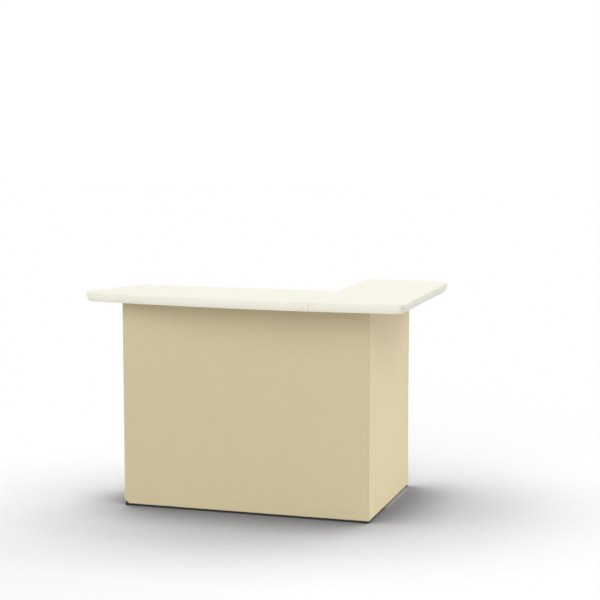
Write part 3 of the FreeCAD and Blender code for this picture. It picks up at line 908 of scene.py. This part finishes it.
@dataclass(frozen=True)
class RouteLeg:
    """One stretch of the cloth's way round in plan: straight, or a bend to the left at a front corner."""

    start: Spot
    heading: float
    length: float
    bend_radius: float = 0.0

    def at(self, along: float) -> tuple[Spot, Vector]:
        """Find a spot on the leg.

        Args:
            along: distance from the leg's start.

        Returns:
            The spot and the outward direction there.
        """
        outward = Vector((math.sin(self.heading), -math.cos(self.heading)))
        if not self.bend_radius:
            return self.start + Vector((math.cos(self.heading), math.sin(self.heading))) * along, outward
        heading = self.heading + along / self.bend_radius
        turned = Vector((math.sin(heading), -math.cos(heading)))
        return self.start + (turned - outward) * self.bend_radius, turned


@dataclass
class Skirt:
    """One taut cloth round the left return, the front and the right side, bound at its hem and ends."""

    cloth: Material
    binding: Material
    thread: Material
    loop_tape: Material
    corner_radius: float = 0.0035
    thickness: float = 0.0008
    column_step: float = 0.016
    row_step: float = 0.016
    corner_steps: int = 6
    waist: float = 0.0022
    waist_fullness: float = 0.8
    corner_hold: float = 0.18
    pucker: float = 0.00035
    pucker_length: float = 0.085
    pucker_reach: float = 0.07
    # A second wave, weaker and closer, keeps the puckers and the hem from repeating: its strength, how much
    # closer it is and, for the puckers, how far it is shifted.
    pucker_beat: Triple = (0.6, 1.7, 1.1)
    pucker_onset: float = 0.05
    hem_wave: float = 0.0007
    hem_wave_length: float = 0.21
    hem_beat: Pair = (0.5, 2.4)
    hem_flare: float = 0.6
    # Rows of points above the hem, as shares of the cloth's height, and columns beside the notch, as shares
    # of its run.
    hem_rows: tuple[float, ...] = (0.006, 0.018, 0.03, 0.05)
    notch_columns: tuple[float, ...] = (0.35, 0.7, 1.0, 1.15)
    notch_rise: float = 0.019
    notch_run: float = 0.022
    binding_width: float = 0.008
    binding_cloth: float = 0.0005
    # Shares of the binding's thickness that round its section: lip, heel, toe, the toe's rise and nose.
    binding_rounds: tuple[float, ...] = (0.8, 2.0, 0.4, 0.2, 0.6)
    binding_stitch_inset: float = 0.0056
    tape_stitch_inset: float = 0.0015
    tape_clearance: float = 0.00005
    stitch_pitch: float = 0.0036
    stitch_length: float = 0.0029
    stitch_radius: float = 0.00032
    stitch_around: int = 6
    stitch_smooth: float = 80.0
    hinge_margin: float = 0.006
    hinge_steps: int = 28

    def __post_init__(self) -> None:
        """Take the cloth's plan and heights from the frame's plain skirt and tapes."""
        low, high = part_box("skirt_front")
        self.left, self.right, self.front = low.x, high.x, low.y
        self.hem, self.top = low.z, high.z
        self.left_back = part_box("skirt_left")[1].y
        self.right_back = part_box("skirt_wing")[1].y
        tape_low, tape_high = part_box("skirt_tapes")
        rail_low, rail_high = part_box("rail_front_bottom")
        width = rail_high.z - rail_low.z - 2 * (tape_low.z - rail_low.z)
        self.tapes = [(tape_low.z, tape_low.z + width), (tape_high.z - width, tape_high.z)]
        self.tape_depth = tape_low.y - self.front
        self.legs = self.route()
        self.length = sum(leg.length for leg in self.legs)
        self.hinge_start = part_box("skirt_right")[1].y
        self.hinge_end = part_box("wing_skirt_tapes")[0].y + self.hinge_margin
        before_front = self.legs[0].length + self.legs[1].length
        half_bend = self.legs[1].length / 2
        self.corners = (before_front - half_bend, before_front + self.legs[2].length + half_bend)

    def route(self) -> list[RouteLeg]:
        """Way of the cloth in plan.

        Returns:
            The left return, a bend, the front, a bend and the right side.
        """
        radius = self.corner_radius
        bend = radius * QUARTER_TURN
        straights = (self.left_back - self.front - radius, self.right - self.left - 2 * radius,
                     self.right_back - self.front - radius)
        legs: list[RouteLeg] = []
        spot, heading = Vector((self.left, self.left_back)), -QUARTER_TURN
        for number, straight in enumerate(straights):
            if number:
                legs.append(RouteLeg(spot, heading, bend, radius))
                spot, heading = legs[-1].at(bend)[0], heading + QUARTER_TURN
            legs.append(RouteLeg(spot, heading, straight))
            spot = legs[-1].at(straight)[0]
        return legs

    def plan(self, along: float) -> tuple[Spot, Vector]:
        """Find a spot on the route.

        Args:
            along: distance from the back of the left return.

        Returns:
            The spot and its outward direction.
        """
        for leg in self.legs:
            if along <= leg.length:
                return leg.at(along)
            along -= leg.length
        return self.legs[-1].at(self.legs[-1].length + along)

    def columns(self) -> list[float]:
        """Distances along the route of the cloth's columns.

        Returns:
            The distances, close together at the corners, at the notch and by the wing's hinge post.
        """
        places = [0.0]
        for leg in self.legs:
            steps = self.corner_steps if leg.bend_radius else round(leg.length / self.column_step)
            start = places[-1]
            places.extend(start + leg.length * step / steps for step in range(1, steps + 1))
        for share in self.notch_columns:
            places.extend(self.corners[0] + side * self.notch_run * share for side in (-1, 1))
        bend_start, bend = self.length - self.right_back + self.hinge_start, self.hinge_end - self.hinge_start
        places.extend(bend_start + bend * step / self.hinge_steps for step in range(self.hinge_steps + 1))
        return sorted({round(place, PLACE_DIGITS) for place in places})

    def hem_at(self, along: float) -> float:
        """Height of the hem, cut up at the front left foot."""
        away = abs(along - self.corners[0])
        return self.hem + self.notch_rise * max(0.0, 1 - away / self.notch_run)

    def slack(self, along: float) -> float:
        """How free the cloth is to leave the flat: nought at a front corner and one well away from it."""
        away = min(abs(along - corner) for corner in self.corners)
        return 1 - math.exp(-(away / self.corner_hold) ** 2)

    def sink(self, along: float, height: float) -> float:
        """How far the taut cloth lies behind the flat.

        Args:
            along: distance along the route.
            height: height above the floor.

        Returns:
            Depth in metres; below nought it stands proud.
        """
        low, high = self.tapes[0][1], self.tapes[1][0]
        share = min(1.0, max(0.0, (height - low) / (high - low)))
        depth = self.waist * math.sin(math.pi * share) ** self.waist_fullness
        if share > 0:
            from_tape = min(abs(height - low), abs(height - high))
            turn = math.tau * along / self.pucker_length
            beat, closer, shift = self.pucker_beat
            ripple = math.cos(turn) + beat * math.cos(closer * turn + shift)
            hold = math.exp(-from_tape / self.pucker_reach) * min(1.0, share / self.pucker_onset)
            depth += self.pucker * ripple * hold
        if height < self.tapes[0][0]:
            drop = (self.tapes[0][0] - height) / (self.tapes[0][0] - self.hem)
            turn = math.tau * along / self.hem_wave_length
            beat, closer = self.hem_beat
            wave = math.cos(turn) + beat * math.cos(closer * turn)
            depth -= self.hem_wave * drop ** 2 * (self.hem_flare + (1 - self.hem_flare) * wave)
        return depth * self.slack(along)

    def behind(self, along: float, height: float, depth: float) -> Point:
        """Place at a depth behind the flat of the cloth."""
        spot, outward = self.plan(along)
        return (spot - outward * depth).to_3d() + Vector((0, 0, height))

    def at(self, along: float, height: float, depth: float = 0.0) -> Point:
        """Place on the cloth's outer face, or at a depth behind it."""
        return self.behind(along, height, self.sink(along, height) + depth)

    def sheet(self) -> Piece:
        """Make the cloth itself.

        Returns:
            A thin closed sheet, with its map in metres.
        """
        columns = self.columns()
        rows = round((self.top - self.hem) / self.row_step)
        shares = sorted({row / rows for row in range(rows + 1)} | set(self.hem_rows))
        flat = []
        for along in columns:
            hem = self.hem_at(along)
            flat.extend((along, hem + (self.top - hem) * share) for share in shares)
        points = [self.at(along, height) for along, height in flat]
        points += [self.at(along, height, self.thickness) for along, height in flat]
        tall, count = len(shares), len(flat)
        inner = ring_faces(len(columns), tall, closed=False)
        faces = [tuple(reversed(face)) for face in inner]
        faces += [tuple(spot + count for spot in face) for face in inner]
        hem_edge = [column * tall for column in range(len(columns))]
        top_edge = [spot + tall - 1 for spot in reversed(hem_edge)]
        right_edge = [count - tall + row for row in range(tall)]
        left_edge = list(reversed(range(tall)))
        for edge in (hem_edge, right_edge, top_edge, left_edge):
            faces += [(one, one + count, two + count, two) for one, two in zip(edge, edge[1:])]
        piece = mesh_piece("skirt_cloth", points, faces, self.cloth)
        self.map_cloth(piece, flat + flat)
        return piece

    def map_cloth(self, piece: Piece, flat: Sequence[Pair]) -> None:
        """Give a cloth piece its map.

        Args:
            piece: the piece.
            flat: metres along and up the cloth for each of its points.
        """
        layer = piece.data.uv_layers.new(name=CLOTH_MAP)
        for loop in piece.data.loops:
            layer.data[loop.index].uv = flat[loop.vertex_index]

    def bound_section(self) -> list[Pair]:
        """Section of the binding that is folded over an edge of the cloth.

        Returns:
            Depth behind the cloth's face and distance in from its edge, for each point.
        """
        fold, wide, middle = self.binding_cloth, self.binding_width, self.thickness / 2
        lip, heel, toe, toe_rise, nose = (fold * share for share in self.binding_rounds)
        half = [(0.0, wide), (lip, wide), (fold, wide - fold), (fold, heel), (toe, toe_rise)]
        outer = [(-proud, rise) for proud, rise in half]
        inner = [(self.thickness + proud, rise) for proud, rise in reversed(half)]
        return [*outer, (middle, -nose), *inner]

    def hem_binding(self) -> Piece:
        """Make the binding that is folded over the hem.

        Returns:
            The binding.
        """
        section, columns = self.bound_section(), self.columns()
        sections = []
        for along in columns:
            hem = self.hem_at(along)
            sections.append([self.at(along, hem + rise, depth) for depth, rise in section])
        piece = swept("skirt_hem_binding", sections, self.binding)
        self.map_cloth(piece, [(along, rise) for along in columns for _, rise in section])
        return piece

    def end_binding(self, name: str, start: float, inward: int) -> Piece:
        """Make the binding that is folded over one upright end of the cloth.

        Args:
            name: the piece's name.
            start: distance along the route of the cloth's end.
            inward: 1 or -1, the way along the route that leads into the cloth.

        Returns:
            The binding.
        """
        section = self.bound_section()
        if inward > 0:
            section.reverse()
        rows = round((self.top - self.hem) / self.row_step)
        heights = [self.hem + (self.top - self.hem) * row / rows for row in range(rows + 1)]
        end_spot, outward = self.plan(start)
        onward = (self.plan(start + inward * self.binding_width)[0] - end_spot).normalized()
        sections = []
        for height in heights:
            sunk = end_spot - outward * self.sink(start, height)
            spots = [sunk - outward * depth + onward * rise for depth, rise in section]
            sections.append([Vector((spot.x, spot.y, height)) for spot in spots])
        piece = swept(name, sections, self.binding)
        self.map_cloth(piece, [(rise, height) for height in heights for _, rise in section])
        return piece

    def loop_strip(self, name: str, low: float, high: float) -> Piece:
        """Make the soft loop tape sewn behind the cloth, where it meets the hook tape on the rails.

        Args:
            name: the piece's name.
            low: height of the tape's lower edge.
            high: height of the tape's upper edge.

        Returns:
            The tape.
        """
        near, far = self.thickness, self.tape_depth - self.tape_clearance
        section = [(near, high), (near, low), (far, low), (far, high)]
        sections = []
        for along in self.columns():
            sections.append([self.behind(along, height, depth) for depth, height in section])
        return swept(name, sections, self.loop_tape)

    def stitches(self, name: str, row: Callable[[float], Point], outward: Callable[[float], Vector],
                 run: float) -> Piece:
        """Make a row of lock stitches that lie on the cloth.

        Args:
            name: the piece's name.
            row: place on the row at a distance along it.
            outward: direction out of the cloth there.
            run: the row's length.

        Returns:
            The stitches as one piece.
        """
        # Each stitch swells and rises to its middle and dips into the cloth at its ends.
        end, shoulder, middle = (0.35, -0.4), (0.85, 0.15), (1.0, 0.35)
        profile = [(0.0, *end), (0.2, *shoulder), (0.5, *middle), (0.8, *shoulder), (1.0, *end)]
        angles = [math.tau * spot / self.stitch_around for spot in range(self.stitch_around)]
        points: list[Point] = []
        faces: list[Face] = []
        for number in range(int(run / self.stitch_pitch)):
            start = number * self.stitch_pitch
            first, last = row(start), row(start + self.stitch_length)
            out = outward(start)
            across = (last - first).normalized().cross(out)
            faces.extend(capped_faces(len(profile), self.stitch_around, len(points)))
            for share, girth, rise in profile:
                centre = first.lerp(last, share) + out * (rise * self.stitch_radius)
                for angle in angles:
                    spoke = out * math.cos(angle) + across * math.sin(angle)
                    points.append(centre + spoke * self.stitch_radius * girth)
        return mesh_piece(name, points, faces, self.thread, self.stitch_smooth)

    def level_stitches(self, name: str, rise: Callable[[float], float], lift: float) -> Piece:
        """Stitches along the route, by their height at a distance along it and their lift off the cloth."""
        return self.stitches(name, lambda along: self.at(along, rise(along), -lift),
                             lambda along: self.plan(along)[1].to_3d(), self.length)

    def end_stitches(self, name: str, start: float) -> Piece:
        """Make upright stitches on the binding of one end.

        Args:
            name: the piece's name.
            start: the row's distance along the route.

        Returns:
            The stitches.
        """
        low = self.hem + self.binding_width
        return self.stitches(name, lambda up: self.at(start, low + up, -self.binding_cloth),
                             lambda up: self.plan(start)[1].to_3d(), self.top - low)

    def tape_pieces(self) -> list[Piece]:
        """Make both loop tapes and the rows that sew them on.

        Returns:
            Each tape and its two rows of stitches.
        """
        made = []
        for number, (low, high) in enumerate(self.tapes, 1):
            made.append(self.loop_strip(f"skirt_loop_tape_{number}", low, high))
            rows = {"low": low + self.tape_stitch_inset, "high": high - self.tape_stitch_inset}
            for edge, height in rows.items():
                name = f"skirt_tape_stitches_{number}_{edge}"
                made.append(self.level_stitches(name, lambda along, height=height: height, 0.0))
        return made

    def hang(self, piece: Piece) -> None:
        """Bake a piece's place into its own points.

        Args:
            piece: the cloth or a piece that is sewn to it.
        """
        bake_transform(piece)

    def build(self) -> list[Piece]:
        """Make the cloth and what is sewn to it, and bake their places into their points.

        Returns:
            The cloth first, then its trim.
        """
        inset = self.binding_stitch_inset
        cloth = self.sheet()
        trim = [
            self.hem_binding(),
            self.end_binding("skirt_left_end_binding", 0.0, 1),
            self.end_binding("skirt_right_end_binding", self.length, -1),
            self.level_stitches("skirt_hem_stitches", lambda along: self.hem_at(along) + inset,
                                self.binding_cloth),
            self.end_stitches("skirt_left_end_stitches", inset),
            self.end_stitches("skirt_right_end_stitches", self.length - inset),
            *self.tape_pieces(),
        ]
        for piece in [cloth, *trim]:
            self.hang(piece)
        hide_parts("skirt_front", "skirt_left", "skirt_right", "skirt_wing")
        return [cloth, *trim]


@dataclass
class WeldBeads:
    """Weld beads where rails meet posts, ground flush outside for the skirt and above for the tops."""

    finish: Material
    radius: float = 0.0016
    ripple: float = 0.22
    ripple_length: float = 0.0042
    step: float = 0.0011
    ground_margin: float = 0.002
    around: int = 8

    def route(self, low: Point, high: Point, y: float, outside: float) -> list[Point]:
        """Places of a bead down the inner face and along the under face of a rail's end.

        Args:
            low: lowest corner of the rail.
            high: highest corner of the rail.
            y: where the rail's end meets the post.
            outside: x of the rail's outer face, which is left bare.

        Returns:
            The places in order.
        """
        inside = max(low.x, high.x, key=lambda x: abs(x - outside))
        ground = outside + math.copysign(self.ground_margin, inside - outside)
        turns = ((inside, high.z - self.ground_margin), (inside, low.z), (ground, low.z))
        corners = [Vector((x, y, z)) for x, z in turns]
        places = []
        for start, end in zip(corners, corners[1:]):
            count = round((end - start).length / self.step)
            places.extend(start.lerp(end, number / count) for number in range(count))
        return places + [corners[-1]]

    def bead(self, name: str, body: str, places: Sequence[Point]) -> Piece:
        """Make one rippled bead.

        Args:
            name: the piece's name.
            body: the body that it rides on.
            places: its route.

        Returns:
            The bead.
        """
        across = Vector((0, 1, 0))
        angles = [math.tau * spot / self.around for spot in range(self.around)]
        sections = []
        for number, place in enumerate(places):
            before, after = places[max(0, number - 1)], places[min(len(places) - 1, number + 1)]
            out = across.cross(after - before).normalized()
            wave = math.sin(math.tau * number * self.step / self.ripple_length)
            reach = self.radius * (1 + self.ripple * wave)
            spokes = [out * math.cos(angle) + across * math.sin(angle) for angle in angles]
            sections.append([place + spoke * reach for spoke in spokes])
        piece = swept(name, sections, self.finish)
        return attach(piece, body)

    def build(self) -> list[Piece]:
        """Make the beads of the end rails, and of the wing frame's rails at its far post.

        Returns:
            The beads.
        """
        made = []
        for side in ("left", "right"):
            for level in ("top", "shelf", "bottom"):
                low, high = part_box(f"rail_{side}_{level}")
                outside = low.x if side == "left" else high.x
                for end, y in (("front", low.y), ("rear", high.y)):
                    route = self.route(low, high, y, outside)
                    made.append(self.bead(f"weld_{side}_{level}_{end}", "frame", route))
        for level in ("top", "middle", "bottom"):
            low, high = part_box(f"wing_rail_{level}")
            made.append(self.bead(f"weld_wing_{level}", "wing_frame", self.route(low, high, high.y, high.x)))
        return made


@dataclass
class FrameDressing:
    """Finishes of the frame's own pieces, by the end of their names; every other piece is coated."""

    coat: Material
    by_ending: dict[str, Material]

    def finish_of(self, name: str) -> Material:
        """Finish that the end of a node's name stands for, or else the coat."""
        fitting = [finish for ending, finish in self.by_ending.items() if name.endswith(ending)]
        return fitting[0] if fitting else self.coat

    def build(self) -> list[Piece]:
        """Dress every node that still shows.

        Returns:
            The dressed nodes.
        """
        shown = {name: node for name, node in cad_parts.items() if not node.hide_render}
        for name, node in shown.items():
            node.data.materials.clear()
            node.data.materials.append(self.finish_of(name))
        return list(shown.values())


@dataclass(frozen=True)
class Lamp:
    """Broad soft lamp, far off: its strength, how many degrees of sky it fills and the way it shines."""

    name: str
    strength: float
    spread: float
    towards: Triple

    def build(self) -> None:
        """Hang the lamp."""
        light = bpy.data.lights.new(self.name, "SUN")
        light.energy = self.strength
        light.angle = math.radians(self.spread)
        lamp = bpy.data.objects.new(self.name, light)
        lamp.rotation_euler = Vector(self.towards).to_track_quat("-Z", "Y").to_euler()
        bpy.context.scene.collection.objects.link(lamp)


@dataclass
class Studio:
    """Pale floor, soft light from all round and above, and the camera."""

    floor: Material
    floor_half: float = 30.0
    floor_drop: float = 0.0005
    sky: float = 0.22
    lamps: tuple[Lamp, ...] = (
        Lamp("overhead_softbox", 0.1, 60.0, (0.0, 0.0, -1.0)),
        Lamp("front_softbox", 1.8, 52.0, (0.0, 0.8, -0.6)),
        Lamp("back_softbox", 2.1, 50.0, (-0.42, -0.8, -0.42)),
        Lamp("left_softbox", 0.6, 50.0, (0.82, 0.0, -0.57)),
    )
    camera_place: Triple = (2.4906, -7.6365, 1.9576)
    camera_pitch: float = 6.77
    camera_turn: float = 16.98
    camera_lens: float = 96.79
    sensor: float = 36.0

    def build_floor(self) -> None:
        """Lay a flat floor just under the glides."""
        half = self.floor_half
        corners = ((-half, -half), (half, -half), (half, half), (-half, half))
        points = [Vector((x, y, -self.floor_drop)) for x, y in corners]
        mesh_piece("studio_floor", points, [(0, 1, 2, 3)], self.floor)

    def build_sky(self) -> None:
        """Make a world that lights softly from all round and shows white."""
        world = bpy.data.worlds.new("studio_white")
        world.use_nodes = True
        tree = world.node_tree
        tree.nodes.clear()
        strength = add_node(tree, "MapRange", {"To Min": self.sky}, {"Value": seen_directly(tree)})
        white = add_node(tree, "Background", {"Color": linear("#FFFFFF")}, {"Strength": strength})
        add_node(tree, "OutputWorld", links={"Surface": white})
        bpy.context.scene.world = world

    def build_camera(self) -> None:
        """Stand the camera at the angle of the photograph."""
        data = bpy.data.cameras.new("camera")
        data.lens = self.camera_lens
        data.sensor_width = self.sensor
        camera = bpy.data.objects.new("camera", data)
        camera.location = self.camera_place
        camera.rotation_euler = (math.radians(90 - self.camera_pitch), 0, math.radians(self.camera_turn))
        bpy.context.scene.collection.objects.link(camera)
        bpy.context.scene.camera = camera

    def build(self) -> None:
        """Make the whole studio."""
        self.build_floor()
        self.build_sky()
        for lamp in self.lamps:
            lamp.build()
        self.build_camera()
        bpy.context.scene.view_settings.view_transform = "Standard"


def log_pieces(kind: str, pieces: Iterable[Piece]) -> None:
    """Log each piece with its count of faces."""
    for piece in pieces:
        LOG.info("%s: %s, %d faces", kind, piece.name, len(piece.data.polygons))


def main() -> None:
    """Build the counter's looks in order."""
    logging.basicConfig(level=logging.INFO, format="%(message)s")
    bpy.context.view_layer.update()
    cream = MouldedPolyethylene("polyethylene_blow_moulded_cream", "#F7F5E9", "#F4F1E3").build()
    log_pieces("top", CounterTop(cream).build())
    skirt = Skirt(
        cloth=WovenPolyester("polyester_plain_weave_tan", "#CBBE9A", "#D0C3A0").build(),
        binding=WovenPolyester("polyester_bias_binding_tan", "#CDC09B", "#D1C4A0", thread_mm=0.8).build(),
        thread=SpunThread("polyester_spun_thread_tan", "#B7AA82", "#D6C9A0").build(),
        loop_tape=LoopTape("nylon_loop_tape_tan", "#B9AE8C", "#CFC5A4").build(),
    )
    log_pieces("skirt", skirt.build())
    coat = PowderCoat("steel_powder_coated_graphite", "#2B2C2E", "#4A4A49").build()
    log_pieces("weld", WeldBeads(coat).build())
    zinc = ZincPlate("steel_zinc_plated", "#B9BEC4", "#C6C2B4").build()
    dressing = FrameDressing(coat, {
        "_screws": zinc,
        "_leaves": zinc,
        "_pins": zinc,
        "_board": MelamineBoard("chipboard_melamine_ash_print", "#DDD4C1", "#C6B999").build(),
        "_bearer": PlanedPine("pine_planed", "#D8B585", "#BC8F5A").build(),
        "_knobs": MouldedPlastic("nylon_moulded_black", "#1A1A1B", "#303030").build(),
        "_glides": MouldedPlastic("rubber_moulded_black", "#1C1B1A", "#353432", roughness=(0.7, 0.86),
                                  relief=Pattern(size_mm=1.2, detail=1.0)).build(),
        "_pegs": MouldedPlastic("nylon_turned_black", "#1E1E1F", "#38383A", roughness=(0.45, 0.61),
                                relief=Pattern(size_mm=0.6, detail=1.0)).build(),
        "_tapes": HookTape("nylon_hook_tape_black", "#1F1D1B", "#3B3834").build(),
        "_pan": MouldedPolyethylene("polyethylene_moulded_underside", "#EDEADD", "#E6E2D3",
                                    relief=Pattern(size_mm=1.6, detail=1.0)).build(),
    })
    log_pieces("frame", dressing.build())
    Studio(PaintedFloor("concrete_painted_pale_grey", "#E8E8E8").build()).build()


if __name__ == "__main__":
    main()
